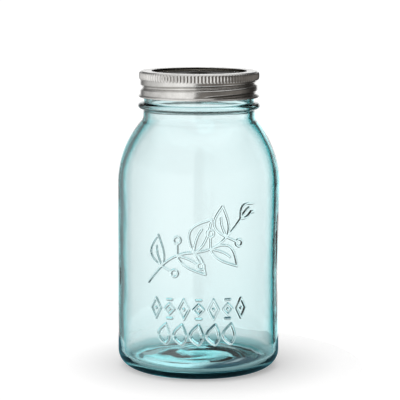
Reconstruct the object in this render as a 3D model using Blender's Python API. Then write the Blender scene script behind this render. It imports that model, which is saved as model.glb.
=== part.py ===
"""A quart mason jar and its two-piece closure: glass jar, screw band, flat lid and sealing ring.

Run with: blender --background --python part.py
Units are metres and +Z is up. The origin is the middle of the ring that the jar stands on.
Every piece is turned about the Z axis: a half section, given as (radius, height) points, is
swept round in rings, and the threads, the knurls and the domed button are formulas on those rings.
"""

import math

import bmesh
import bpy

MM = 0.001

# Rings
SEGMENTS = 54  # points round a plain ring
KNURLS = 108  # grip flutes round the band
KNURL_SEGMENTS = 2 * KNURLS  # points round a knurled ring, a whole multiple of SEGMENTS
SHARP_EDGE = math.radians(32)

# Glass jar
BODY_RADIUS = 48.95 * MM
WALL = 3.2 * MM
HEEL_RADIUS = 10.0 * MM  # rounding between the wall and the foot
FOOT_WIDTH = 2.8 * MM  # width of the flat ring that the jar stands on
PUSH_UP = 3.6 * MM  # how far the middle of the underside is raised
FLOOR_HEIGHT = 5.2 * MM  # inner floor where it meets the inner heel
FLOOR_CROWN = 1.0 * MM
INNER_HEEL_RADIUS = 5.5 * MM
SHOULDER_START = 110.7 * MM  # height where the straight wall turns into the shoulder
SHOULDER_RADIUS = 58.5 * MM
NECK_RADIUS = 33.45 * MM
NECK_FILLET = 4.0 * MM
BEAD_HEIGHT = 158.0 * MM  # middle of the transfer bead below the thread
BEAD_CENTRE_RADIUS = 34.8 * MM
BEAD_ROUNDING = 1.75 * MM
BEAD_REACH = 2.35 * MM  # from the bead's middle to the plain glass above and below it
FINISH_RADIUS = 33.1 * MM  # wall behind the thread
RIM_HEIGHT = 177.15 * MM
RIM_OUTER_ROUNDING = 1.0 * MM
RIM_INNER_ROUNDING = 0.8 * MM

# Screw thread, shared by the glass and the band
PITCH = 5.644 * MM  # four and a half turns to the inch, right-handed, one start
THREAD_ROW = 0.65 * MM  # height between rings that carry a thread
GROOVE_HEIGHT = 171.7 * MM  # middle of the band's rolled groove at angle 0
GROOVE_TURNS = (-1.28, 0.13)  # where the groove starts and ends, in turns from angle 0
GROOVE_DEPTH = 1.35 * MM
GROOVE_HALF_WIDTH = 1.9 * MM
THREAD_LEAD = 2.3 * MM  # the glass thread rides this far above the groove
THREAD_TURNS = (-1.3, 0.0)
THREAD_DEPTH = 1.5 * MM
THREAD_HALF_WIDTH = 1.55 * MM
THREAD_CREST = 0.2  # share of the half width that is a plain crest
RUN_OUT = 0.12  # turns over which a thread fades to nothing

# Screw band
BAND_TOP = 178.7 * MM
BAND_BOTTOM = 163.2 * MM
BAND_SHEET = 0.3 * MM
BAND_RADIUS = 35.2 * MM  # outside of the skirt
BAND_OPENING = 28.5 * MM
BAND_CORNER = 1.0 * MM  # rounding where the flat top flange turns down
KNURL_RADIUS = 35.95 * MM  # the knurled bead at its widest
KNURL_DEPTH = 0.35 * MM
KNURL_BOTTOM = 173.6 * MM
KNURL_HEIGHT = 4.6 * MM
KNURL_FADE = 0.7  # the bead is plain where it stands out by less than this share
FLARE_RADIUS = 36.3 * MM
HEM_ROUNDING = 0.5 * MM  # the flared bottom edge
HEM_RISE = 1.4 * MM  # height of the flare

# Lid, safety button and sealing ring
SEAT_GAP = 0.05 * MM
SEAL_THICKNESS = 0.7 * MM
SEAL_INNER = 30.6 * MM
SEAL_OUTER = 33.2 * MM
LID_SHEET = 0.25 * MM
LID_RADIUS = 34.2 * MM
LID_SKIRT = 2.0 * MM  # height of the turned-down edge
LID_CORNER = 0.6 * MM  # rounding where the lid turns down, drawn as two facets
LID_BEVEL = 0.15 * MM
CHANNEL_INNER = 29.6 * MM
PANEL_DROP = 0.65 * MM  # the panel lies this far below the channel
PANEL_STEP = 0.7 * MM  # width of the slope between the two
RIB_MIDDLE = 22.9 * MM
RIB_HALF_WIDTH = 1.4 * MM
RIB_HEIGHT = 0.3 * MM
BUTTON_RADIUS = 9.6 * MM
BUTTON_GAP = 0.3 * MM
BUTTON_RISE = 0.9 * MM  # the button's snap travel, raised while the jar holds no vacuum

LID_UNDERSIDE = RIM_HEIGHT + 2 * SEAT_GAP + SEAL_THICKNESS
LID_TOP = LID_UNDERSIDE + LID_SHEET
PANEL_TOP = LID_TOP - PANEL_DROP


def clear_scene():
    for item in list(bpy.data.objects):
        bpy.data.objects.remove(item)


def material(name, colour, roughness, metallic=0.0, transmission=0.0):
    """A Principled material, reused if it is already there."""
    made = bpy.data.materials.get(name) or bpy.data.materials.new(name)
    made.use_nodes = True
    shader = made.node_tree.nodes["Principled BSDF"]
    shader.inputs["Base Color"].default_value = (*colour, 1.0)
    shader.inputs["Roughness"].default_value = roughness
    shader.inputs["Metallic"].default_value = metallic
    shader.inputs["Transmission Weight"].default_value = transmission
    return made


def arc(centre, radius, start, end, steps):
    """Points of a circle in the half section, from start to end in degrees, both ends included."""
    angles = [math.radians(start + (end - start) * i / steps) for i in range(steps + 1)]
    return [(centre[0] + radius * math.cos(a), centre[1] + radius * math.sin(a)) for a in angles]


def rows(bottom, top, spacing):
    """Evenly spaced heights from bottom to top, both included, no further apart than spacing."""
    count = math.ceil((top - bottom) / spacing)
    return [bottom + (top - bottom) * i / count for i in range(count + 1)]


def bump(distance, half_width, crest):
    """1 on the crest, falling smoothly to 0 at the half width."""
    share = abs(distance) / half_width
    fall = min(max((share - crest) / (1 - crest), 0.0), 1.0)
    return 0.5 * (1 + math.cos(math.pi * fall))


def thread_relief(angle, height, middle, turns, half_width, crest):
    """How much of a thread's full depth stands at this angle and height, from 0 to 1."""
    turn = angle / (2 * math.pi)
    turn += round((height - middle) / PITCH - turn)
    first, last = turns
    fade = min(max(min(turn - first, last - turn) / RUN_OUT, 0.0), 1.0)
    fade = fade * fade * (3 - 2 * fade)
    return fade * bump(height - middle - PITCH * turn, half_width, crest)


def glass_thread(radius):
    """The ring formula for the jar's raised thread on a wall of this radius."""

    def at(angle, height):
        middle = GROOVE_HEIGHT + THREAD_LEAD
        share = thread_relief(angle, height, middle, THREAD_TURNS, THREAD_HALF_WIDTH, THREAD_CREST)
        return radius + THREAD_DEPTH * share

    return at


def band_groove(radius):
    """The ring formula for the groove rolled into the band's skirt."""

    def at(angle, height):
        share = thread_relief(angle, height, GROOVE_HEIGHT, GROOVE_TURNS, GROOVE_HALF_WIDTH, 0.0)
        return radius - GROOVE_DEPTH * share

    return at


def knurled(radius):
    """The ring formula for pressed flutes: every second point stands in by the knurl depth."""

    def at(angle, height):
        return radius - KNURL_DEPTH * 0.5 * (1 - math.cos(angle * KNURLS))

    return at


def ring(radius, height, segments=SEGMENTS):
    """Points round the Z axis. The radius is a number, or a formula of angle and height."""
    if radius == 0:
        return [(0.0, 0.0, height)]
    points = []
    for i in range(segments):
        angle = 2 * math.pi * i / segments
        reach = radius(angle, height) if callable(radius) else radius
        points.append((reach * math.cos(angle), reach * math.sin(angle), height))
    return points


def join_rings(bm, low, high):
    """Faces between two rings of vertices, where one ring may be a single pole or a finer ring."""
    if len(low) > len(high):
        low, high = high, low
    share = len(high) // len(low)
    for i, vert in enumerate(low):
        fine = [high[(i * share + k) % len(high)] for k in range(share + 1)]
        if len(low) == 1:
            for k in range(len(high)):
                bm.faces.new((vert, high[k], high[(k + 1) % len(high)]))
            return
        following = low[(i + 1) % len(low)]
        if share == 1:
            bm.faces.new((vert, following, fine[1], fine[0]))
            continue
        middle = share // 2
        for k in range(share):
            bm.faces.new((vert if k < middle else following, fine[k], fine[k + 1]))
        bm.faces.new((vert, fine[middle], following))


def turned(name, rings, origin_height, finish, looped):
    """One closed solid from rings of points. A looped section joins its last ring to its first."""
    bm = bmesh.new()
    made = [[bm.verts.new((x, y, z - origin_height)) for x, y, z in points] for points in rings]
    for low, high in zip(made, made[1:]):
        join_rings(bm, low, high)
    if looped:
        join_rings(bm, made[-1], made[0])
    bmesh.ops.recalc_face_normals(bm, faces=bm.faces)
    mesh = bpy.data.meshes.new(name)
    bm.to_mesh(mesh)
    bm.free()
    mesh.shade_smooth()
    mesh.set_sharp_from_angle(angle=SHARP_EDGE)
    mesh.materials.append(finish)
    piece = bpy.data.objects.new(name, mesh)
    piece.location.z = origin_height
    bpy.context.scene.collection.objects.link(piece)
    return piece


def shoulder_meeting():
    """Centre of the neck fillet and the angle at which it touches the shoulder, in degrees."""
    across = NECK_RADIUS + NECK_FILLET - (BODY_RADIUS - SHOULDER_RADIUS)
    reach = SHOULDER_RADIUS + NECK_FILLET
    up = math.sqrt(reach**2 - across**2)
    centre = (NECK_RADIUS + NECK_FILLET, SHOULDER_START + up)
    return centre, math.degrees(math.atan2(up, across))


def jar_outside():
    """Half section of the glass from the middle of the underside to the top of the transfer bead."""
    foot_outer = BODY_RADIUS - HEEL_RADIUS
    foot_inner = foot_outer - FOOT_WIDTH
    shares = (0.0, 0.45, 0.75, 0.92)
    underside = [(foot_inner * s, PUSH_UP * (1 - s**3)) for s in shares] + [(foot_inner, 0.0)]
    heel = arc((foot_outer, HEEL_RADIUS), HEEL_RADIUS, -90, 0, 5)
    fillet_centre, meeting = shoulder_meeting()
    shoulder_centre = (BODY_RADIUS - SHOULDER_RADIUS, SHOULDER_START)
    shoulder = arc(shoulder_centre, SHOULDER_RADIUS, 0, meeting, 7)
    fillet = arc(fillet_centre, NECK_FILLET, meeting + 180, 180, 2)[1:]
    bead_foot = [(NECK_RADIUS, BEAD_HEIGHT - BEAD_REACH)]
    bead = arc((BEAD_CENTRE_RADIUS, BEAD_HEIGHT), BEAD_ROUNDING, -90, 65, 6)
    bead_top = [(FINISH_RADIUS, BEAD_HEIGHT + BEAD_REACH)]
    return underside + heel + shoulder + fillet + bead_foot + bead + bead_top


def jar_rim_and_inside():
    """Half section from the outer edge of the rim, down the inside to the middle of the floor."""
    bore = NECK_RADIUS - WALL
    outer_middle = (FINISH_RADIUS - RIM_OUTER_ROUNDING, RIM_HEIGHT - RIM_OUTER_ROUNDING)
    inner_middle = (bore + RIM_INNER_ROUNDING, RIM_HEIGHT - RIM_INNER_ROUNDING)
    rim = arc(outer_middle, RIM_OUTER_ROUNDING, 0, 90, 3)
    rim += arc(inner_middle, RIM_INNER_ROUNDING, 90, 180, 2)
    fillet_centre, meeting = shoulder_meeting()
    fillet = arc(fillet_centre, NECK_FILLET + WALL, 180, meeting + 180, 2)
    shoulder_centre = (BODY_RADIUS - SHOULDER_RADIUS, SHOULDER_START)
    shoulder = arc(shoulder_centre, SHOULDER_RADIUS - WALL, meeting, 0, 7)[1:]
    heel_middle = (BODY_RADIUS - WALL - INNER_HEEL_RADIUS, FLOOR_HEIGHT + INNER_HEEL_RADIUS)
    heel = arc(heel_middle, INNER_HEEL_RADIUS, 0, -90, 4)
    crown = FLOOR_HEIGHT + FLOOR_CROWN
    return rim + fillet + shoulder + heel + [(heel_middle[0] / 2, crown), (0.0, crown)]


def build_jar():
    thread_bottom = GROOVE_HEIGHT + THREAD_LEAD + PITCH * THREAD_TURNS[0] - THREAD_HALF_WIDTH
    thread_top = GROOVE_HEIGHT + THREAD_LEAD + THREAD_HALF_WIDTH
    rings = [ring(r, z) for r, z in jar_outside()]
    thread = glass_thread(FINISH_RADIUS)
    rings += [ring(thread, z) for z in rows(thread_bottom, thread_top, THREAD_ROW)]
    rings += [ring(r, z) for r, z in jar_rim_and_inside()]
    glass = material("aqua_glass", (0.55, 0.83, 0.83), 0.02, transmission=1.0)
    return turned("glass_jar", rings, 0.0, glass, looped=False)


def knurled_bead():
    """Rings of the bulge that carries the knurls, from top to bottom."""
    rings = []
    for share in (0.95, 0.75, 0.5, 0.25, 0.08):
        height = KNURL_BOTTOM + KNURL_HEIGHT * share
        swell = math.sqrt(math.sin(math.pi * share))
        bead = BAND_RADIUS + (KNURL_RADIUS - BAND_RADIUS) * swell
        formula = knurled(bead) if swell > KNURL_FADE else bead
        rings.append(ring(formula, height, KNURL_SEGMENTS))
    return rings


def build_band():
    """The band's sheet, drawn as one loop: over the top, down the outside and back up the inside."""
    inner = BAND_RADIUS - BAND_SHEET
    skirt = rows(BAND_BOTTOM + HEM_RISE, KNURL_BOTTOM, THREAD_ROW)
    flange = (BAND_RADIUS - BAND_CORNER, BAND_TOP - BAND_CORNER)
    corner = [(BAND_OPENING, BAND_TOP)] + arc(flange, BAND_CORNER, 90, 30, 2)
    hem = (FLARE_RADIUS - HEM_ROUNDING, BAND_BOTTOM + HEM_ROUNDING)
    rings = [ring(r, z) for r, z in corner]
    rings += knurled_bead()
    rings += [ring(band_groove(BAND_RADIUS), z) for z in reversed(skirt)]
    rings += [ring(r, z) for r, z in arc(hem, HEM_ROUNDING, 75, -105, 4)]
    rings += [ring(band_groove(inner), z) for z in skirt]
    hollow = KNURL_RADIUS - KNURL_DEPTH - BAND_SHEET
    underside = [(hollow, KNURL_BOTTOM + KNURL_HEIGHT * share) for share in (0.2, 0.7)]
    underside += arc(flange, BAND_CORNER - BAND_SHEET, 30, 90, 2)
    underside += [(BAND_OPENING, BAND_TOP - BAND_SHEET)]
    rings += [ring(r, z) for r, z in underside]
    steel = material("tinplate_band", (0.62, 0.61, 0.59), 0.32, metallic=1.0)
    return turned("screw_band", rings, GROOVE_HEIGHT, steel, looped=True)


def lid_section():
    """The top face of the lid's sheet from the button's hole out to the edge of the skirt."""
    foot = RIB_MIDDLE - RIB_HALF_WIDTH, RIB_MIDDLE + RIB_HALF_WIDTH
    crest = RIB_MIDDLE - RIB_HALF_WIDTH / 2, RIB_MIDDLE + RIB_HALF_WIDTH / 2
    rib_top = PANEL_TOP + RIB_HEIGHT
    return [
        (BUTTON_RADIUS + BUTTON_GAP, PANEL_TOP),
        (foot[0], PANEL_TOP),
        (crest[0], rib_top),
        (crest[1], rib_top),
        (foot[1], PANEL_TOP),
        (CHANNEL_INNER - PANEL_STEP, PANEL_TOP),
        (CHANNEL_INNER, LID_TOP),
        (LID_RADIUS - LID_CORNER, LID_TOP),
        (LID_RADIUS - LID_BEVEL, LID_TOP - LID_BEVEL),
        (LID_RADIUS, LID_TOP - LID_CORNER),
        (LID_RADIUS, LID_TOP - LID_SKIRT),
    ]


def build_lid():
    """The flat lid: a sheet with a channel over the rim, a stiffening rib and a hole for the button."""
    top = lid_section()
    wall = LID_RADIUS - LID_SHEET
    corner = LID_CORNER - LID_SHEET
    inside = [
        (wall, LID_TOP - LID_SKIRT),
        (wall, LID_UNDERSIDE - corner),
        (wall - corner, LID_UNDERSIDE),
        (CHANNEL_INNER + LID_BEVEL, LID_UNDERSIDE),
    ]
    panel = [(r, z - LID_SHEET) for r, z in reversed(top) if z < LID_TOP and r < CHANNEL_INNER]
    rings = [ring(r, z) for r, z in top + inside + panel]
    tin = material("tinplate_lid", (0.66, 0.64, 0.6), 0.3, metallic=1.0)
    return turned("lid_disc", rings, LID_UNDERSIDE, tin, looped=True)


def build_button():
    """The snap button pressed into the middle of the lid, as its own disc so that it can travel."""
    shares = (0.0, 0.35, 0.65, 0.9, 1.0)
    dome = [(s * BUTTON_RADIUS, PANEL_TOP + BUTTON_RISE * (1 - s * s) ** 1.5) for s in shares]
    underside = [(r, z - LID_SHEET) for r, z in reversed(dome)]
    rings = [ring(r, z) for r, z in dome + underside]
    tin = material("tinplate_lid", (0.66, 0.64, 0.6), 0.3, metallic=1.0)
    return turned("safety_button", rings, PANEL_TOP, tin, looped=False)


def build_seal():
    """The ring of sealing compound that lies in the lid's channel, on the glass rim."""
    low, high = RIM_HEIGHT + SEAT_GAP, LID_UNDERSIDE - SEAT_GAP
    edge = SEAL_THICKNESS / 4
    section = [
        (SEAL_INNER, low + edge),
        (SEAL_INNER + edge, low),
        (SEAL_OUTER - edge, low),
        (SEAL_OUTER, low + edge),
        (SEAL_OUTER, high),
        (SEAL_INNER, high),
    ]
    rubber = material("sealing_compound", (0.62, 0.16, 0.08), 0.55)
    return turned("sealing_ring", [ring(r, z) for r, z in section], low, rubber, looped=True)


def main():
    clear_scene()
    build_jar()
    closure = bpy.data.objects.new("closure_axis", None)
    closure.location.z = RIM_HEIGHT
    bpy.context.scene.collection.objects.link(closure)
    for piece in (build_band(), build_lid(), build_button(), build_seal()):
        piece.parent = closure
        piece.location.z -= RIM_HEIGHT


main()
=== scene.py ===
"""The looks of the mason jar: fine glass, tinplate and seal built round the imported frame.

Every piece is turned about the Z axis. A piece is a list of rings, and a ring is a set of points
that may be closer together where it carries detail. Threads, knurls, foot ribs and the raised
ornament are formulas of angle and height. Lengths are metres; MM converts from millimetres.
"""

import math

import bpy
import numpy as np
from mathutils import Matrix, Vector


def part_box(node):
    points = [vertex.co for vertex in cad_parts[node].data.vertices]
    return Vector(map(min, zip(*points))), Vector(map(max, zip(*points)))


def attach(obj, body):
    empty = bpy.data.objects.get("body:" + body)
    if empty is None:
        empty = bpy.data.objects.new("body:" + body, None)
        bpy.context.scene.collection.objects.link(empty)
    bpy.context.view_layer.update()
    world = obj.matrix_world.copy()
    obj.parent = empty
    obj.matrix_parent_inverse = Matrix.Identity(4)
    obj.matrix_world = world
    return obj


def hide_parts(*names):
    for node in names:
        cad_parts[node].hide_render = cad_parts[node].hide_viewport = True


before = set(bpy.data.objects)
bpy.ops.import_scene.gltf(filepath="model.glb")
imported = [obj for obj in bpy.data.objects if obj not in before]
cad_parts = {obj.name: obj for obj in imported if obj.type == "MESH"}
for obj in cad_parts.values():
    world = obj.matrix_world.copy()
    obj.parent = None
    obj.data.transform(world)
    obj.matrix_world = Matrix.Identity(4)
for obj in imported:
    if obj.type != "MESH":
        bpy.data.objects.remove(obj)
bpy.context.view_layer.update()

MM = 0.001
TURN = 2 * math.pi
FRONT = 1.5 * math.pi  # the -Y side, which carries the ornament
START = 0.5 * math.pi  # every ring starts and ends at the back

JAR_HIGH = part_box("glass_jar")[1]
BAND_LOW, BAND_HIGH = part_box("screw_band")
LID_LOW, LID_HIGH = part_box("lid_disc")
BUTTON_LOW, BUTTON_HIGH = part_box("safety_button")
SEAL_LOW, SEAL_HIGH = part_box("sealing_ring")

# Glass
BODY_RADIUS = JAR_HIGH.x
RIM_HEIGHT = JAR_HIGH.z
WALL = 3.2 * MM
HEEL_RADIUS = 10.0 * MM
FOOT_WIDTH = 2.8 * MM
PUSH_UP = 3.6 * MM
FLOOR_HEIGHT = 5.2 * MM
FLOOR_CROWN = 1.0 * MM
FLOOR_SWIRL = 0.45 * MM  # waves in the inner floor
INNER_HEEL_RADIUS = 5.5 * MM
SHOULDER_START = 110.7 * MM
SHOULDER_RADIUS = 58.5 * MM
NECK_RADIUS = 33.45 * MM
NECK_FILLET = 4.0 * MM
BEAD_HEIGHT = 158.0 * MM
BEAD_CENTRE_RADIUS = 34.8 * MM
BEAD_ROUNDING = 1.75 * MM
BEAD_REACH = 2.35 * MM
FINISH_RADIUS = 33.1 * MM
RIM_OUTER_ROUNDING = 1.0 * MM
RIM_INNER_ROUNDING = 0.8 * MM
FOOT_RIBS = 150
FOOT_RIB_DEPTH = 0.8 * MM
WAIST_HEIGHT = 58 * MM  # the right wall is pulled in a little here
WAIST_DEPTH = 0.9 * MM
WAIST_REACH = 34 * MM
WAIST_WAVE = 0.18  # a second, shorter wave in it, as a share of its depth
WAIST_WAVE_RADIAN = 6.5 * MM
INSET = 0.12 * MM  # held back from the body's radius, for the unevenness of the surface
WALL_WAVE = 0.05 * MM
SHOULDER_WAVE = 0.04 * MM
INNER_WAVE = 0.15 * MM
OUTER_SEED = 3
INNER_SEED = 5

# Ornament, raised from a shallow flat in the front wall so that it stays inside the body's radius
ORNAMENT_HALF_ANGLE = math.radians(39)
SINK_HALF_ANGLE = math.radians(78)
SINK_FULL = 14 * MM  # height from which the flat has its full depth
SINK_END = 148 * MM  # height at which it has run out
SINK_FADE = 38 * MM
ORNAMENT_RAISE = 1.15 * MM
STROKE = 0.82 * MM  # half the width of a stroke
STROKE_EDGE = 0.52 * MM  # width of its sloping side
COLUMN = math.radians(0.4)
COARSE_COLUMN = math.radians(6)
ROW = 0.35 * MM
MOTIF_MIDDLE = 43.2  # heights of the two rows of motifs, in millimetres like the strokes
DROP_FOOT = 22.6

# Points in a ring
PLAIN_ROUND = 144
THREAD_ROUND = 216
LID_ROUND = 180
BUTTON_ROUND = 96

# Screw thread
PITCH = 5.644 * MM
GROOVE_HEIGHT = 171.7 * MM
GROOVE_TURNS = (-1.28, 0.13)
GROOVE_DEPTH = 1.35 * MM
GROOVE_HALF_WIDTH = 1.9 * MM
THREAD_LEAD = 2.3 * MM
THREAD_TURNS = (-1.3, 0.0)
THREAD_DEPTH = 1.5 * MM
THREAD_HALF_WIDTH = 1.55 * MM
THREAD_CREST = 0.2
RUN_OUT = 0.12

# Band
BAND_SHEET = 0.3 * MM
BAND_RADIUS = 35.2 * MM
BAND_OPENING = 28.5 * MM
BAND_CORNER = 1.0 * MM
BAND_CURL = 0.5 * MM
BAND_LIP = 0.15 * MM
BAND_ROW = 0.3 * MM
KNURLS = 108
KNURL_RADIUS = 35.95 * MM
KNURL_DEPTH = 0.6 * MM
KNURL_BOTTOM = 173.7 * MM
KNURL_TOP = 178.1 * MM

# Lid
LID_SHEET = 0.25 * MM
LID_CORNER = 0.6 * MM
CHANNEL_INNER = 29.6 * MM
PANEL_DROP = 0.65 * MM
RIB_MIDDLE = 22.9 * MM
RIB_HALF_WIDTH = 1.4 * MM
RIB_HEIGHT = 0.3 * MM
BUTTON_GAP = 0.06 * MM
SEAL_INNER = 30.6 * MM

# Finishes
WHITE = (1, 1, 1, 1)
GLASS_TINT = (0.52, 0.785, 0.8)
GLASS_DENSITY = 105.0
# The deep colour of glass seen along its surface, or through the thick base
EDGE_TINT = (0.03, 0.5, 0.54)
EDGE_FACING = (0.5, 0.82)
BASE_TINTED = 0.48
BASE_HEIGHT = (5.8 * MM, 8.5 * MM)
LOWER_TINTED = 0.07  # the wall is a little deeper in colour towards the base
LOWER_HEIGHT = (10 * MM, 75 * MM)
BAND_BRIGHT = (0.56, 0.552, 0.535)
BAND_DULL = (0.41, 0.402, 0.385)
BAND_ROUGHNESS = (0.13, 0.25)
FLANGE_HIGHLIGHT = (0.78, 0.77, 0.75)  # painted highlight: the top of the band made brighter in colour
LID_BRIGHT = (0.32, 0.305, 0.27)
LID_DULL = (0.22, 0.205, 0.175)
LID_ROUGHNESS = (0.22, 0.34)
LID_GLANCING = 0.06  # share of the mirror that is left at a glancing angle
LID_DISH = 3.0  # apparent hollow of the lid's panel, as height over the square of the radius
WORN_MARGIN = 0.2 * MM  # the sheet is worn bright outside its greatest radius less this
STREAK_AROUND = 0.6
STREAK_UP = 60.0
LACQUER_PALE = (0.62, 0.6, 0.55)
LACQUER_DARK = (0.5, 0.47, 0.4)
COMPOUND_PALE = (0.34, 0.07, 0.035)
COMPOUND_DARK = (0.22, 0.04, 0.02)
SHARP = math.radians(40)  # an edge of the sheet that bends more than this is crisp
UNDERSIDE = -0.6  # a face whose normal dips past this carries the second finish

# Studio: radiance of the panels round the jar, by degrees from the camera's heading, right positive.
# LOW stands from the table to a little above the horizon, and HIGH from there to the panel overhead.
LOW = [
    (-180, 0.3),
    (-175, 0.35),
    (-170, 1.5),
    (-140, 1.7),
    (-115, 1.5),
    (-98, 1.25),
    (-72, 0.95),
    (-50, 0.7),
    (-36, 0.28),
    (-27, 0.25),
    (-17, 1.0),
    (0, 1.12),
    (6, 1.15),
    (11, 1.5),
    (24, 1.5),
    (29, 0.3),
    (36, 0.07),
    (60, 0.04),
    (80, 0.15),
    (95, 0.3),
    (114, 0.34),
    (134, 0.26),
    (152, 0.24),
    (166, 0.34),
    (172, 0.3),
]
HIGH = [
    (-180, 0.16),
    (-175, 0.25),
    (-170, 1.1),
    (-110, 1.2),
    (-80, 0.6),
    (-40, 0.3),
    (-20, 0.14),
    (20, 0.14),
    (40, 0.05),
    (70, 0.03),
    (120, 0.05),
    (172, 0.1),
]
WARM = (1.0, 0.93, 0.87)  # cast of the dim panels on the right
WARM_FROM = 30
LOW_TO_HIGH = (8.5, 13)  # degrees above the horizon between which one gives way to the next
TABLE = 1.1
TABLE_UP_TO = (-50, -35)
OVERHEAD = 1.15
OVERHEAD_FROM = (34, 52)
PANEL_PEAK = 2.0
FLOOR_RADIUS = 0.1
FLOOR = (0.86, 0.86, 0.86)
# Glow of the floor by distance from the axis in millimetres: painted light. Its bright middle stands for
# the light that the glass gathers under the jar, which is lost towards the right-hand side; its dimmer
# ring round the foot is a painted contact shadow.
FLOOR_GLOW = [
    (0, 1.7),
    (38, 1.7),
    (39.5, 0.4),
    (41, 0.42),
    (46, 0.3),
    (52, 0.3),
    (85, 0.42),
    (100, 0.42),
]
GLOW_PEAK = 2.0
FLOOR_DROP = 0.1 * MM  # the table lies this far under the foot
# Share of the floor that shows in a reflection, a dark teal painted reflection, so that the heel stays
# dark
MIRRORED = (0.1, 0.27, 0.34)
# Under the foot the glow is white on the left and turns to a faint navy painted shade towards the
# right-hand side.
UNDER_RADIUS = (38 * MM, 39.5 * MM)
LOST_COLOUR = (0.0, 0.05, 0.08)
LOST_LEAN = 0.4
UNDER_LOST = (5 * MM, 19 * MM)

# Camera
SENSOR = 36.0  # width in millimetres, as the lens is
LENS = 151.137
CAMERA_PLACE = (0.66 * MM, -1002.2 * MM, 248.2 * MM)
CAMERA_DIP = 8.373  # degrees below the horizontal
CAMERA_ROLL = 0.15
BOUNCES = 20


# ---------------------------------------------------------------- rings


def spread(count):
    """Evenly spaced angles once round, starting at the back."""
    return START + TURN * np.arange(count) / count


def front_spread(half_angle, fine, coarse):
    """Angles once round that are fine within half_angle of the front and coarse elsewhere."""
    middle = np.linspace(FRONT - half_angle, FRONT + half_angle, math.ceil(2 * half_angle / fine) + 1)
    side = math.ceil((math.pi - half_angle) / coarse)
    left = np.linspace(START, FRONT - half_angle, side, endpoint=False)
    right = np.linspace(FRONT + half_angle, START + TURN, side, endpoint=False)[1:]
    return np.concatenate([left, middle, right])


def ring(angles, radius, height):
    """(angles, points) of one ring. radius and height are numbers or arrays along the angles."""
    radius = np.broadcast_to(radius, angles.shape)
    height = np.broadcast_to(height, angles.shape)
    points = np.stack([radius * np.cos(angles), radius * np.sin(angles), height], axis=1)
    return angles, points


def pole(height):
    """A ring that is a single point on the axis."""
    return np.array([START]), np.array([[0.0, 0.0, height]])


def zip_rings(low, low_at, high, high_at):
    """Faces between two rings whose points needn't match, by walking both by angle."""
    faces, i, j = [], 0, 0
    low_next = np.append(low[1:], START + TURN) if len(low) > 1 else np.array([np.inf])
    high_next = np.append(high[1:], START + TURN) if len(high) > 1 else np.array([np.inf])
    while (i < len(low) and len(low) > 1) or (j < len(high) and len(high) > 1):
        a = low_next[i] if i < len(low_next) else np.inf
        b = high_next[j] if j < len(high_next) else np.inf
        p, q = low_at + i % len(low), high_at + j % len(high)
        p_next, q_next = low_at + (i + 1) % len(low), high_at + (j + 1) % len(high)
        if abs(a - b) < 1e-6:
            faces.append((p, p_next, q_next, q))
            i, j = i + 1, j + 1
        elif a < b:
            faces.append((p, p_next, q))
            i += 1
        else:
            faces.append((p, q_next, q))
            j += 1
    return faces


def same_faces(count, low_at, high_at):
    """Faces between two rings of matching points."""
    step = np.arange(count)
    after = (step + 1) % count
    return np.stack([low_at + step, low_at + after, high_at + after, high_at + step], axis=1).tolist()


def turned(name, rings, body, node, finish, looped=False, sharp=None):
    """A closed piece from rings that run up its outside and down its inside."""
    starts = np.cumsum([0] + [len(angles) for angles, _ in rings])
    pairs = [(k, k + 1) for k in range(len(rings) - 1)]
    if looped:
        pairs.append((len(rings) - 1, 0))
    faces = []
    for k, m in pairs:
        low, high = rings[k][0], rings[m][0]
        if len(low) == len(high) and np.allclose(low, high):
            faces += same_faces(len(low), starts[k], starts[m])
        else:
            faces += zip_rings(low, starts[k], high, starts[m])
    mesh = bpy.data.meshes.new(name)
    mesh.from_pydata(np.concatenate([points for _, points in rings]).tolist(), [], faces)
    mesh.shade_smooth()
    if sharp:
        mesh.set_sharp_from_angle(angle=sharp)
    mesh.materials.append(finish)
    piece = bpy.data.objects.new(name, mesh)
    bpy.context.scene.collection.objects.link(piece)
    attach(piece, body)
    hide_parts(node)
    return piece


def arc(centre, radius, start, end, steps):
    """Points of a circle in the half section, from start to end in degrees."""
    at = np.radians(np.linspace(start, end, steps + 1))
    return [(centre[0] + radius * math.cos(a), centre[1] + radius * math.sin(a)) for a in at]


def line(start, end, steps):
    """Evenly spaced points from start up to but without end."""
    share = np.arange(steps) / steps
    return [(start[0] + (end[0] - start[0]) * s, start[1] + (end[1] - start[1]) * s) for s in share]


def rows(bottom, top, spacing):
    """Evenly spaced heights from bottom to top."""
    return np.linspace(bottom, top, math.ceil((top - bottom) / spacing) + 1)


def smooth(x):
    """0 below 0, 1 above 1 and an S between them."""
    x = np.clip(x, 0, 1)
    return x * x * (3 - 2 * x)


# ---------------------------------------------------------------- relief


def thread_relief(angle, height, middle, turns, half_width, crest):
    """How much of a thread's full depth stands at these angles and this height, from 0 to 1."""
    turn = angle / TURN
    turn = turn + np.round((height - middle) / PITCH - turn)
    first, last = turns
    fade = smooth(np.minimum(turn - first, last - turn) / RUN_OUT)
    share = np.abs(height - middle - PITCH * turn) / half_width
    fall = np.clip((share - crest) / (1 - crest), 0, 1)
    return fade * 0.5 * (1 + np.cos(math.pi * fall))


def glass_thread(angles, height):
    """How far the glass's thread stands out."""
    middle = GROOVE_HEIGHT + THREAD_LEAD
    return THREAD_DEPTH * thread_relief(
        angles, height, middle, THREAD_TURNS, THREAD_HALF_WIDTH, THREAD_CREST
    )


def band_groove(angles, height):
    """How far the band is rolled in between its threads."""
    return GROOVE_DEPTH * thread_relief(
        angles, height, GROOVE_HEIGHT, GROOVE_TURNS, GROOVE_HALF_WIDTH, 0.0
    )


def ripple(angles, height, scale, seed):
    """A gentle unevenness round and up the glass, of about this height, the same on each run."""
    draw = np.random.default_rng(seed)
    total = np.zeros_like(angles)
    for _ in range(9):
        around = draw.integers(1, 9)
        up = draw.uniform(20, 160)
        phase = draw.uniform(0, TURN, 2)
        total += np.sin(around * angles + phase[0]) * math.sin(up * height + phase[1])
    return scale * np.clip(total / 4, -1, 1)


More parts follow.
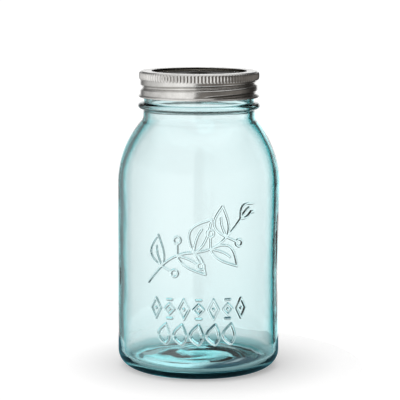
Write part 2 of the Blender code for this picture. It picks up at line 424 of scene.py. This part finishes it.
def waist(angles, height):
    """The shallow pull-in of the right wall, with a second small wave in it."""
    side = smooth(np.cos(angles)) ** 2
    fall = np.exp(-(((height - WAIST_HEIGHT) / WAIST_REACH) ** 2))
    wave = WAIST_WAVE * math.sin(height / WAIST_WAVE_RADIAN) * fall
    return WAIST_DEPTH * side * (fall + wave) / (1 + WAIST_WAVE)


def sink(angles, height):
    """The ground that the ornament stands on: the front of the jar drawn in by the ornament's height."""
    side = smooth((SINK_HALF_ANGLE - np.abs(angles - FRONT)) / (SINK_HALF_ANGLE - ORNAMENT_HALF_ANGLE))
    return ORNAMENT_RAISE * side * smooth(height / SINK_FULL) * smooth((SINK_END - height) / SINK_FADE)


# ---------------------------------------------------------------- ornament


def stem(share):
    """A point of the sprig's stem and its heading, for shares from 0 at its foot to 1 at its tip."""
    across = -32 + 58 * share
    up = 58 + 38 * share + 5 * np.sin(TURN * share)
    heading = np.arctan2(38 + 5 * TURN * np.cos(TURN * share), 58)
    return across, up, heading


def leaf(foot, heading, length, width):
    """A pointed leaf's outline and its vein, from its foot along its heading, in millimetres."""
    share = np.linspace(0, 1, 15)
    half = 0.5 * width * np.sin(math.pi * share**0.85)
    bend = 0.12 * length * np.sin(math.pi * share)
    along = (np.cos(heading), np.sin(heading))
    strokes = []
    for side, end in ((half, 15), (-half, 15), (0 * half, 10)):
        out = share * length
        off = side + bend
        x = foot[0] + out * along[0] - off * along[1]
        z = foot[1] + out * along[1] + off * along[0]
        strokes.append(np.stack([x, z], axis=1)[:end])
    return strokes


def round_stroke(centre, wide, tall, corners):
    """A closed stroke: an oval, or a lozenge when it has four corners."""
    at = np.linspace(0, TURN, corners + 1)
    return np.stack([centre[0] + wide * np.sin(at), centre[1] + tall * np.cos(at)], axis=1)


def sprig():
    """A leafy branch that rises to the right, with berries."""
    across, up, _ = stem(np.linspace(0, 1, 33))
    strokes = [np.stack([across, up], axis=1)]
    for k, share in enumerate(np.linspace(0.16, 0.84, 5)):
        x, z, heading = stem(share)
        side = 1 if k % 2 == 0 else -1
        size = 1 - 0.5 * abs(share - 0.5)
        strokes += leaf((x, z), heading + side * 0.95, 22 * size, 10.5 * size)
        berry = heading - side * 1.2
        bx, bz = x + 9 * math.cos(berry), z + 9 * math.sin(berry)
        strokes.append(np.array([(x, z), (bx - 2 * math.cos(berry), bz - 2 * math.sin(berry))]))
        strokes.append(round_stroke((bx, bz), 2.1, 2.1, 16))
    x, z, heading = stem(1.0)
    strokes += leaf((x, z), heading - 0.25, 13, 7)
    return strokes


def motif_rows():
    """Two rows of plain geometric motifs under the sprig."""
    strokes = []
    for k, x in enumerate(np.linspace(-26.5, 26.5, 7)):
        tall = 6.0 if k % 2 == 0 else 3.2
        strokes.append(round_stroke((x, MOTIF_MIDDLE), 3.1, tall, 4))
        strokes.append(round_stroke((x, MOTIF_MIDDLE), 0.3, 0.3, 6))
        if k % 2:
            for z in (MOTIF_MIDDLE - 5.6, MOTIF_MIDDLE + 5.6):
                strokes.append(np.array([(x - 1.6, z), (x + 1.6, z)]))
    for x in np.linspace(-20, 20, 5):
        strokes += leaf((x, DROP_FOOT), math.pi / 2, 11.5, 7.0)[:2]
    return strokes


def nearest(x, z, stroke):
    """Distance of every point from one stroke."""
    best = np.full(x.shape, np.inf)
    for (ax, az), (bx, bz) in zip(stroke, stroke[1:]):
        dx, dz = bx - ax, bz - az
        along = np.clip(((x - ax) * dx + (z - az) * dz) / (dx * dx + dz * dz + 1e-9), 0, 1)
        best = np.minimum(best, np.hypot(x - ax - along * dx, z - az - along * dz))
    return best


def ornament_relief(angles, heights):
    """Height of the ornament above its ground, for each height (rows) and angle (columns)."""
    across = (angles - FRONT) * BODY_RADIUS / MM
    x, z = np.meshgrid(across, np.asarray(heights) / MM)
    best = np.full(x.shape, np.inf)
    reach = 2 * STROKE / MM
    for stroke in sprig() + motif_rows():
        low, high = stroke.min(axis=0) - reach, stroke.max(axis=0) + reach
        near = (x > low[0]) & (x < high[0]) & (z > low[1]) & (z < high[1])
        best[near] = np.minimum(best[near], nearest(x[near], z[near], stroke))
    return ORNAMENT_RAISE * smooth((STROKE / MM - best) * MM / STROKE_EDGE)


# ---------------------------------------------------------------- glass


def shoulder_meeting():
    """Centre of the neck fillet and the angle at which it touches the shoulder, in degrees."""
    across = NECK_RADIUS + NECK_FILLET - (BODY_RADIUS - SHOULDER_RADIUS)
    reach = SHOULDER_RADIUS + NECK_FILLET
    up = math.sqrt(reach**2 - across**2)
    centre = (NECK_RADIUS + NECK_FILLET, SHOULDER_START + up)
    return centre, math.degrees(math.atan2(up, across))


def glass_foot():
    """The underside and the ribbed ring that the jar stands on, up into the bottom of the heel."""
    outer = BODY_RADIUS - HEEL_RADIUS
    inner = outer - FOOT_WIDTH
    plain = spread(PLAIN_ROUND)
    rings = [pole(PUSH_UP)]
    rings += [ring(plain, inner * s, PUSH_UP * (1 - s**6)) for s in np.linspace(0.12, 0.97, 16)]
    fine = spread(FOOT_RIBS * 4)
    rib = 0.5 * (1 + np.cos(fine * FOOT_RIBS))
    section = [(inner, 0.0, 0.0), (inner + 0.6 * MM, 0.0, 1.0), (outer - 0.3 * MM, 0.0, 1.0)]
    for degrees, share in ((-87, 1.0), (-82, 1.0), (-77, 0.8), (-72, 0.0)):
        at = math.radians(degrees)
        section.append((outer + HEEL_RADIUS * math.cos(at), HEEL_RADIUS * (1 + math.sin(at)), share))
    for radius, height, share in section:
        rings.append(ring(fine, radius, height + FOOT_RIB_DEPTH * share * rib))
    return rings


def wall_rings():
    """The straight wall, fine at the front where the ornament stands."""
    front = front_spread(ORNAMENT_HALF_ANGLE, COLUMN, COARSE_COLUMN)
    heights = np.concatenate([
        rows(11 * MM, 20 * MM, 1.5 * MM),
        rows(20.4 * MM, 51 * MM, ROW),
        rows(52 * MM, 55 * MM, 1.5 * MM),
        rows(55.5 * MM, 108.5 * MM, ROW),
        rows(109.2 * MM, 110.2 * MM, 1 * MM),
    ])
    rings = []
    for height, raised in zip(heights, ornament_relief(front, heights)):
        settled = smooth((height - 9 * MM) / (8 * MM))
        uneven = INSET + ripple(front, height, WALL_WAVE, OUTER_SEED) * settled
        reach = BODY_RADIUS - sink(front, height) - uneven - waist(front, height) + raised
        rings.append(ring(front, reach, height))
    return rings


def glass_outside():
    """The heel, the wall with its ornament, the shoulder, the bead and the finish."""
    plain = spread(PLAIN_ROUND)
    heel = (BODY_RADIUS - HEEL_RADIUS, HEEL_RADIUS)
    rings = []
    for r, z in arc(heel, HEEL_RADIUS, -66, -4, 11):
        reach = r - sink(plain, z) - (waist(plain, z) + INSET) * z / HEEL_RADIUS
        rings.append(ring(plain, reach, z))
    rings += wall_rings()
    fillet_centre, meeting = shoulder_meeting()
    centre = (BODY_RADIUS - SHOULDER_RADIUS, SHOULDER_START)
    for r, z in arc(centre, SHOULDER_RADIUS, 0.3, meeting, 24):
        waves = ripple(plain, z, SHOULDER_WAVE, OUTER_SEED)
        rings.append(ring(plain, r - sink(plain, z) - waist(plain, z) - waves - INSET, z))
    rings += [ring(plain, r, z) for r, z in arc(fillet_centre, NECK_FILLET, meeting + 180, 180, 6)[1:]]
    foot = [(NECK_RADIUS, BEAD_HEIGHT - BEAD_REACH), (NECK_RADIUS + 0.15 * MM, BEAD_HEIGHT - 2.05 * MM)]
    bead = arc((BEAD_CENTRE_RADIUS, BEAD_HEIGHT), BEAD_ROUNDING, -80, 62, 14)
    top = [
        (FINISH_RADIUS + 1.3 * MM, BEAD_HEIGHT + 1.8 * MM),
        (FINISH_RADIUS + 0.35 * MM, BEAD_HEIGHT + 2.05 * MM),
        (FINISH_RADIUS, BEAD_HEIGHT + BEAD_REACH),
        (FINISH_RADIUS, BEAD_HEIGHT + 2.9 * MM),
    ]
    rings += [ring(plain, r, z) for r, z in foot + bead + top]
    around = spread(THREAD_ROUND)
    for z in rows(163.5 * MM, RIM_HEIGHT - RIM_OUTER_ROUNDING - 0.1 * MM, 0.42 * MM):
        rings.append(ring(around, FINISH_RADIUS + glass_thread(around, z), z))
    return rings


def glass_inside():
    """The rim and everything below it, down to the middle of the floor."""
    plain = spread(PLAIN_ROUND)
    bore = NECK_RADIUS - WALL
    outer = (FINISH_RADIUS - RIM_OUTER_ROUNDING, RIM_HEIGHT - RIM_OUTER_ROUNDING)
    inner = (bore + RIM_INNER_ROUNDING, RIM_HEIGHT - RIM_INNER_ROUNDING)
    section = arc(outer, RIM_OUTER_ROUNDING, 0, 90, 5) + arc(inner, RIM_INNER_ROUNDING, 90, 180, 5)
    fillet_centre, meeting = shoulder_meeting()
    section += line((bore, inner[1] - 1 * MM), (bore, fillet_centre[1]), 8)
    section += arc(fillet_centre, NECK_FILLET + WALL, 180, meeting + 180, 8)
    centre = (BODY_RADIUS - SHOULDER_RADIUS, SHOULDER_START)
    section += arc(centre, SHOULDER_RADIUS - WALL, meeting, 0, 20)[1:]
    heel = (BODY_RADIUS - WALL - INNER_HEEL_RADIUS, FLOOR_HEIGHT + INNER_HEEL_RADIUS)
    section += line((BODY_RADIUS - WALL, SHOULDER_START - 3 * MM), (BODY_RADIUS - WALL, heel[1]), 16)
    section += arc(heel, INNER_HEEL_RADIUS, 0, -90, 12)
    rings = []
    for r, z in section:
        share = smooth((RIM_HEIGHT - 20 * MM - z) / (15 * MM))
        drawn_in = sink(plain, z) + waist(plain, z)
        waves = ripple(plain, z, INNER_WAVE, INNER_SEED) * share
        rings.append(ring(plain, r + waves - drawn_in, z))
    for s in np.linspace(0.97, 0.05, 20):
        swirl = np.sin(2 * plain + 9 * s) + 0.6 * np.sin(plain - 14 * s + 1)
        swirl += 0.4 * np.sin(3 * plain + 21 * s)
        wave = FLOOR_SWIRL * swirl * smooth(2.2 * s) * smooth(6 * (1 - s))
        rings.append(ring(plain, heel[0] * s, FLOOR_HEIGHT + FLOOR_CROWN * (1 - s * s) + wave))
    return rings + [pole(FLOOR_HEIGHT + FLOOR_CROWN)]


# ---------------------------------------------------------------- tinplate


def band_rings():
    """The band's sheet: up the outside from the hem, over the flange, and down the inside."""
    around = spread(THREAD_ROUND)
    fine = spread(KNURLS * 8)
    inner = BAND_RADIUS - BAND_SHEET
    curl = (BAND_HIGH.x - BAND_CURL, BAND_LOW.z + BAND_CURL)
    rings = [ring(around, r, z) for r, z in arc(curl, BAND_CURL, -105, 60, 8)]
    skirt = rows(BAND_LOW.z + 1.5 * MM, KNURL_BOTTOM - 0.5 * MM, BAND_ROW)
    rings += [ring(around, BAND_RADIUS - band_groove(around, z), z) for z in skirt]
    shape = 0.5 + 0.5 * np.cos(fine * KNURLS)
    for z in rows(KNURL_BOTTOM, KNURL_TOP, BAND_ROW):
        share = (z - KNURL_BOTTOM) / (KNURL_TOP - KNURL_BOTTOM)
        swell = math.sin(math.pi * share) ** 0.35 if 0 < share < 1 else 0.0
        bead = BAND_RADIUS + 0.1 * MM + (KNURL_RADIUS - BAND_RADIUS - 0.1 * MM) * swell
        rings.append(ring(fine, bead - KNURL_DEPTH * swell * shape, z))
    corner = (BAND_RADIUS - BAND_CORNER, BAND_HIGH.z - BAND_CORNER)
    rings += [ring(around, r, z) for r, z in arc(corner, BAND_CORNER, 50, 90, 4)]
    lip = (BAND_OPENING + BAND_LIP, BAND_HIGH.z - BAND_LIP)
    flange = line((corner[0] - 1 * MM, BAND_HIGH.z), (lip[0], BAND_HIGH.z), 5)
    rings += [ring(around, r, z) for r, z in flange]
    rings += [ring(around, r, z) for r, z in arc(lip, BAND_LIP, 90, 270, 6)]
    rings += [ring(around, r, z) for r, z in arc(corner, BAND_CORNER - BAND_SHEET, 90, 50, 4)]
    bead_inner = KNURL_RADIUS - KNURL_DEPTH - BAND_SHEET
    rings.append(ring(around, bead_inner, KNURL_TOP - 1.0 * MM))
    rings.append(ring(around, bead_inner, KNURL_BOTTOM + 0.8 * MM))
    rings += [ring(around, inner - band_groove(around, z), z) for z in skirt[::-1]]
    return rings


def lid_rings():
    """The lid's sheet: up the outside of the skirt, in to the button's hole, and back underneath."""
    around = spread(LID_ROUND)
    top, panel = LID_HIGH.z, LID_HIGH.z - PANEL_DROP
    edge = LID_HIGH.x
    wall = edge - LID_SHEET
    corner = (edge - LID_CORNER, top - LID_CORNER)
    outside = [(edge, LID_LOW.z)] + arc(corner, LID_CORNER, 0, 90, 6)
    channel = line((edge - 1.2 * MM, top), (CHANNEL_INNER + 0.3 * MM, top), 5)
    step = [(CHANNEL_INNER + 0.3 * MM, top), (CHANNEL_INNER, top - 0.06 * MM)]
    step += [(CHANNEL_INNER - 0.5 * MM, panel + 0.06 * MM), (CHANNEL_INNER - 0.8 * MM, panel)]
    across = np.linspace(RIB_MIDDLE + RIB_HALF_WIDTH, RIB_MIDDLE - RIB_HALF_WIDTH, 13)
    rib = [
        (r, panel + RIB_HEIGHT * 0.5 * (1 + math.cos(math.pi * (r - RIB_MIDDLE) / RIB_HALF_WIDTH)))
        for r in across
    ]
    hole = BUTTON_HIGH.x + BUTTON_GAP
    inside = [(hole, panel)]
    under = [(r, z - LID_SHEET) for r, z in reversed(channel + step + rib + inside)]
    skirt = arc(corner, LID_CORNER - LID_SHEET, 90, 0, 5)
    section = outside + channel + step + rib + inside + under + skirt + [(wall, LID_LOW.z)]
    return [ring(around, r, z) for r, z in section]


def button_rings():
    """The domed snap button."""
    around = spread(BUTTON_ROUND)
    panel = BUTTON_LOW.z + LID_SHEET
    rise = BUTTON_HIGH.z - panel
    radius = BUTTON_HIGH.x
    shares = np.linspace(1, 0.08, 14)
    dome = [(radius * s, panel + rise * (1 - s * s) ** 1.5) for s in shares]
    rings = [pole(panel + rise - LID_SHEET)]
    rings += [ring(around, r, z - LID_SHEET) for r, z in reversed(dome)]
    rings += [ring(around, r, z) for r, z in dome]
    return rings + [pole(panel + rise)]


def seal_rings():
    """The ring of sealing compound, with rounded edges."""
    around = spread(PLAIN_ROUND)
    half = (SEAL_HIGH.z - SEAL_LOW.z) / 2
    middle = SEAL_LOW.z + half
    section = arc((SEAL_HIGH.x - half, middle), half, -90, 90, 8)
    section += arc((SEAL_INNER + half, middle), half, 90, 270, 8)
    return [ring(around, r, z) for r, z in section]


# ---------------------------------------------------------------- materials


def add(tree, kind, inputs=(), **settings):
    """A new node. Each input is given a value, or the socket that feeds it."""
    made = tree.nodes.new("ShaderNode" + kind)
    for key, value in settings.items():
        setattr(made, key, value)
    for key, value in dict(inputs).items():
        if isinstance(value, bpy.types.NodeSocket):
            tree.links.new(value, made.inputs[key])
        else:
            made.inputs[key].default_value = value
    return made


def blend(tree, factor, first, second):
    """The socket of a colour that runs from first to second."""
    pair = {"Factor": factor, 6: first, 7: second}
    return add(tree, "Mix", pair, data_type="RGBA").outputs[2]


def times(tree, first, second):
    """The socket of two colours multiplied."""
    pair = {"Factor": 1.0, 6: first, 7: second}
    return add(tree, "Mix", pair, data_type="RGBA", blend_type="MULTIPLY").outputs[2]


def spread_to(tree, value, low, high, start=0.3, end=0.7):
    """The socket of a value taken from start..end to low..high."""
    limits = {"Value": value, "From Min": start, "From Max": end, "To Min": low, "To Max": high}
    return add(tree, "MapRange", limits).outputs["Result"]


def noise(tree, vector, scale, detail=3.0, roughness=0.55):
    """The socket of a noise at these coordinates."""
    inputs = {"Vector": vector, "Scale": scale, "Detail": detail, "Roughness": roughness}
    return add(tree, "TexNoise", inputs).outputs["Fac"]


def wrapped(tree, place, around, up):
    """Coordinates unrolled from the Z axis, scaled round and up it, and the distance from the axis."""
    parts = add(tree, "SeparateXYZ", {0: place}).outputs
    angle = add(tree, "Math", {0: parts["Y"], 1: parts["X"]}, operation="ARCTAN2").outputs[0]
    turn = add(tree, "Math", {0: angle, 1: around}, operation="MULTIPLY").outputs[0]
    rise = add(tree, "Math", {0: parts["Z"], 1: up}, operation="MULTIPLY").outputs[0]
    flat = add(tree, "CombineXYZ", {"X": parts["X"], "Y": parts["Y"]}).outputs[0]
    reach = add(tree, "VectorMath", {0: flat}, operation="LENGTH").outputs["Value"]
    return add(tree, "CombineXYZ", {"X": turn, "Y": rise, "Z": reach}).outputs[0], reach


def principled(name, **values):
    """A material with a Principled shader: the material, its tree, the shader and object coordinates."""
    made = bpy.data.materials.new(name)
    made.use_nodes = True
    tree = made.node_tree
    shader = tree.nodes["Principled BSDF"]
    for key, value in values.items():
        shader.inputs[key.replace("_", " ")].default_value = value
    place = add(tree, "TexCoord").outputs["Object"]
    return made, tree, shader, place


def drive(tree, shader, **sockets):
    """Links each of these sockets to the shader's input of that name."""
    for key, socket in sockets.items():
        tree.links.new(socket, shader.inputs[key.replace("_", " ")])


def glass_material():
    """Polished moulded glass: aqua through its depth, with faint mould waves on its surface."""
    made, tree, shader, place = principled("aqua_glass", IOR=1.52, Transmission_Weight=1.0)
    waves = noise(tree, place, 55.0, 2.0)
    height = add(tree, "SeparateXYZ", {0: place}).outputs["Z"]
    low = spread_to(tree, height, BASE_TINTED, 0.0, *BASE_HEIGHT)
    facing = add(tree, "LayerWeight", {"Blend": 0.5}).outputs["Facing"]
    edge = spread_to(tree, facing, 0.0, 1.0, *EDGE_FACING)
    most = add(tree, "Math", {0: low, 1: edge}, operation="MAXIMUM").outputs[0]
    lower = spread_to(tree, height, LOWER_TINTED, 0.0, *LOWER_HEIGHT)
    amount = add(tree, "Math", {0: most, 1: lower}, operation="ADD", use_clamp=True).outputs[0]
    tint = blend(tree, amount, WHITE, (*EDGE_TINT, 1))
    haze = noise(tree, place, 160.0, 4.0)
    bump = add(tree, "Bump", {"Height": waves, "Strength": 0.5, "Distance": 0.25 * MM})
    drive(tree, shader, Roughness=spread_to(tree, haze, 0.0, 0.03, 0.5, 0.8), Normal=bump.outputs[0])
    drive(tree, shader, Base_Color=tint, Specular_Tint=tint)
    depth = add(tree, "VolumeAbsorption", {"Color": (*GLASS_TINT, 1), "Density": GLASS_DENSITY})
    tree.links.new(depth.outputs[0], tree.nodes["Material Output"].inputs["Volume"])
    return made


def tinplate_material(name, bright, dull, roughness, worn_from, glancing=1.0, flange=0.0, dish=0.0):
    """Satin tinplate: a fine grain, rolling streaks round it, dull patches, high spots worn bright, and
    on a flange a painted highlight.
    """
    made, tree, shader, place = principled(name, Metallic=1.0, Specular_Tint=(glancing,) * 3 + (1,))
    unrolled, reach = wrapped(tree, place, STREAK_AROUND, STREAK_UP)
    patches = noise(tree, place, 110.0, 4.0, 0.6)
    grain = noise(tree, place, 1500.0, 3.0, 0.65)
    streaks = noise(tree, unrolled, 34.0, 3.0, 0.6)
    worn = spread_to(tree, reach, 0.0, 0.7, worn_from, worn_from + 0.25 * MM)
    base = blend(tree, spread_to(tree, patches, 0.0, 1.0), (*bright, 1), (*dull, 1))
    speckled = blend(tree, spread_to(tree, grain, 0.0, 0.35, 0.35, 0.7), base, (*dull, 1))
    wear_and_highlight = blend(tree, worn, speckled, (*[min(1.15 * c, 1) for c in bright], 1))
    if flange:
        # Painted highlight: the band's flat top is given a brighter colour.
        height = add(tree, "SeparateXYZ", {0: place}).outputs["Z"]
        flange_highlight = spread_to(tree, height, 0.0, 1.0, flange - 0.4 * MM, flange - 0.1 * MM)
        wear_and_highlight = blend(tree, flange_highlight, wear_and_highlight, (*FLANGE_HIGHLIGHT, 1))
    mixed = add(tree, "Math", {0: patches, 1: streaks}, operation="ADD").outputs[0]
    rough = spread_to(tree, mixed, roughness[0], roughness[1], 0.75, 1.25)
    fine = add(tree, "Bump", {"Height": grain, "Strength": 0.35, "Distance": 0.03 * MM})
    rolled = {"Height": streaks, "Strength": 0.3, "Distance": 0.05 * MM, "Normal": fine.outputs[0]}
    lines = add(tree, "Bump", rolled)
    surface = lines
    if dish:
        bowl = add(tree, "Math", {0: reach, 1: reach}, operation="MULTIPLY").outputs[0]
        surface = add(tree, "Bump", {"Height": bowl, "Distance": dish, "Normal": lines.outputs[0]})
    drive(tree, shader, Base_Color=wear_and_highlight, Roughness=rough, Normal=surface.outputs[0])
    return made


def lacquer_material():
    """The pale enamel on the underside of the lid."""
    made, tree, shader, place = principled("lid_lacquer", Coat_Weight=0.3)
    patches = noise(tree, place, 220.0, 4.0)
    colour = blend(tree, spread_to(tree, patches, 0.0, 1.0), (*LACQUER_PALE, 1), (*LACQUER_DARK, 1))
    pores = noise(tree, place, 900.0)
    dimples = add(tree, "Bump", {"Height": pores, "Strength": 0.2, "Distance": 0.03 * MM})
    rough = spread_to(tree, patches, 0.3, 0.45)
    drive(tree, shader, Base_Color=colour, Roughness=rough, Normal=dimples.outputs[0])
    return made


def seal_material():
    """Poured sealing compound: matt, a little uneven in colour and height."""
    made, tree, shader, place = principled("sealing_compound", Specular_IOR_Level=0.35)
    patches = noise(tree, place, 180.0, 5.0, 0.6)
    colour = blend(tree, spread_to(tree, patches, 0.0, 1.0), (*COMPOUND_PALE, 1), (*COMPOUND_DARK, 1))
    grain = noise(tree, place, 1300.0)
    orange_peel = add(tree, "Bump", {"Height": grain, "Strength": 0.3, "Distance": 0.05 * MM})
    rough = spread_to(tree, patches, 0.45, 0.65)
    drive(tree, shader, Base_Color=colour, Roughness=rough, Normal=orange_peel.outputs[0])
    return made


# ---------------------------------------------------------------- studio


def stops_of(tree, share, stops):
    """The socket of a colour that follows these (share, colour) stops."""
    made = add(tree, "ValToRGB", {"Fac": share})
    marks = made.color_ramp.elements
    while len(marks) < len(stops):
        marks.new(1.0)
    for mark, (position, colour) in zip(marks, stops):
        mark.position = position
        mark.color = (*colour, 1)
    return made.outputs["Color"]


def ramp(tree, azimuth, panels):
    """The light of a ring of panels, as shares of the peak."""
    stops = []
    for degrees, tone in panels:
        cast = WARM if degrees > WARM_FROM else (1, 1, 1)
        stops.append((0.5 + degrees / 360, [tone * c / PANEL_PEAK for c in cast]))
    return stops_of(tree, spread_to(tree, azimuth, 0.0, 1.0, -math.pi, math.pi), stops)


def past(tree, angle, limits):
    """0 below the first of these degrees and 1 above the second."""
    return spread_to(tree, angle, 0.0, 1.0, *[math.radians(d) for d in limits])


def build_studio():
    """Soft panels that stand round the jar and turn with the camera, so that every view is lit alike."""
    world = bpy.data.worlds.new("studio")
    bpy.context.scene.world = world
    world.use_nodes = True
    tree = world.node_tree
    seen = add(tree, "TexCoord").outputs["Camera"]
    way = add(tree, "VectorMath", {0: seen}, operation="NORMALIZE").outputs[0]
    to_camera = {"vector_type": "VECTOR", "convert_from": "WORLD", "convert_to": "CAMERA"}
    up = add(tree, "VectorTransform", {0: (0, 0, 1)}, **to_camera).outputs[0]
    ahead = add(tree, "VectorMath", {0: (1, 0, 0), 1: up}, operation="CROSS_PRODUCT").outputs[0]
    right = add(tree, "SeparateXYZ", {0: way}).outputs["X"]
    forward = add(tree, "VectorMath", {0: way, 1: ahead}, operation="DOT_PRODUCT").outputs["Value"]
    height = add(tree, "VectorMath", {0: way, 1: up}, operation="DOT_PRODUCT").outputs["Value"]
    azimuth = add(tree, "Math", {0: right, 1: forward}, operation="ARCTAN2").outputs[0]
    rise = add(tree, "Math", {0: height}, operation="ARCSINE").outputs[0]
    table, overhead = ((tone / PANEL_PEAK,) * 3 + (1,) for tone in (TABLE, OVERHEAD))
    low, high = ramp(tree, azimuth, LOW), ramp(tree, azimuth, HIGH)
    light = blend(tree, past(tree, rise, TABLE_UP_TO), table, low)
    light = blend(tree, past(tree, rise, LOW_TO_HIGH), light, high)
    light = blend(tree, past(tree, rise, OVERHEAD_FROM), light, overhead)
    sky = tree.nodes["Background"]
    tree.links.new(light, sky.inputs["Color"])
    sky.inputs["Strength"].default_value = PANEL_PEAK


def build_camera():
    """The photograph's viewpoint: a long lens, looking a little down."""
    data = bpy.data.cameras.new("camera")
    data.sensor_width = SENSOR
    data.lens = LENS
    camera = bpy.data.objects.new("camera", data)
    bpy.context.scene.collection.objects.link(camera)
    camera.location = CAMERA_PLACE
    camera.rotation_euler = (math.radians(90 - CAMERA_DIP), 0, 0)
    camera.rotation_euler.rotate_axis("Z", math.radians(CAMERA_ROLL))
    bpy.context.scene.camera = camera


def build_floor():
    """A round white table that glows with painted light: brightest under the jar, a painted contact
    shadow round the foot, and a dark teal painted reflection.
    """
    rim = np.linspace(0, TURN, 96, endpoint=False)
    mesh = bpy.data.meshes.new("floor")
    corners = np.stack([FLOOR_RADIUS * np.cos(rim), FLOOR_RADIUS * np.sin(rim), 0 * rim], axis=1)
    mesh.from_pydata(corners.tolist(), [], [tuple(range(len(rim)))])
    floor = bpy.data.objects.new("floor", mesh)
    floor.location.z = -FLOOR_DROP
    bpy.context.scene.collection.objects.link(floor)
    made, tree, shader, place = principled("floor", Base_Color=(*FLOOR, 1), Roughness=0.6)
    shader.inputs["Specular IOR Level"].default_value = 0.1
    reach = add(tree, "VectorMath", {0: place}, operation="LENGTH").outputs["Value"]
    parts = add(tree, "SeparateXYZ", {0: place}).outputs
    share = spread_to(tree, reach, 0.0, 1.0, 0.0, FLOOR_RADIUS)
    stops = [(r * MM / FLOOR_RADIUS, (tone / GLOW_PEAK,) * 3) for r, tone in FLOOR_GLOW]
    glow = stops_of(tree, share, stops)
    slanted = {0: parts["Y"], 1: -LOST_LEAN, 2: parts["X"]}
    lean = add(tree, "Math", slanted, operation="MULTIPLY_ADD").outputs[0]
    under = blend(tree, spread_to(tree, lean, 0.0, 1.0, *UNDER_LOST), WHITE, (*LOST_COLOUR, 1))
    colour = blend(tree, spread_to(tree, reach, 0.0, 1.0, *UNDER_RADIUS), under, WHITE)
    light = times(tree, glow, colour)
    mirrored = add(tree, "LightPath").outputs["Is Reflection Ray"]
    shade = blend(tree, mirrored, WHITE, (*MIRRORED, 1))
    shader.inputs["Emission Strength"].default_value = GLOW_PEAK
    drive(tree, shader, Emission_Color=times(tree, light, shade))
    drive(tree, shader, Base_Color=times(tree, shade, (*FLOOR, 1)))
    mesh.materials.append(made)


def use_under(piece, finish):
    """Gives the faces that look down a second finish."""
    piece.data.materials.append(finish)
    for face in piece.data.polygons:
        if face.normal.z < UNDERSIDE:
            face.material_index = 1


def build_pieces():
    """Each node's fine piece, on its body."""
    glass_rings = glass_foot() + glass_outside() + glass_inside()
    glass = turned("jar_glass", glass_rings, "jar", "glass_jar", glass_material())
    worn_from = KNURL_RADIUS - WORN_MARGIN
    band_tin = tinplate_material(
        "band_tin", BAND_BRIGHT, BAND_DULL, BAND_ROUGHNESS, worn_from, flange=BAND_HIGH.z
    )
    band = turned("band_sheet", band_rings(), "band", "screw_band", band_tin, looped=True)
    worn_from = LID_HIGH.x - WORN_MARGIN
    lid_tin = tinplate_material(
        "lid_tin", LID_BRIGHT, LID_DULL, LID_ROUGHNESS, worn_from, LID_GLANCING, dish=LID_DISH
    )
    lacquer = lacquer_material()
    lid = turned("lid_sheet", lid_rings(), "lid", "lid_disc", lid_tin, looped=True, sharp=SHARP)
    button = turned("snap_button", button_rings(), "button", "safety_button", lid_tin, sharp=SHARP)
    for piece in (lid, button):
        use_under(piece, lacquer)
    seal = turned("seal_ring", seal_rings(), "lid", "sealing_ring", seal_material(), looped=True)


build_pieces()
build_studio()
build_floor()
build_camera()
scene = bpy.context.scene
scene.view_settings.view_transform = "Standard"
scene.cycles.max_bounces = BOUNCES
scene.cycles.transmission_bounces = BOUNCES
scene.cycles.caustics_refractive = False
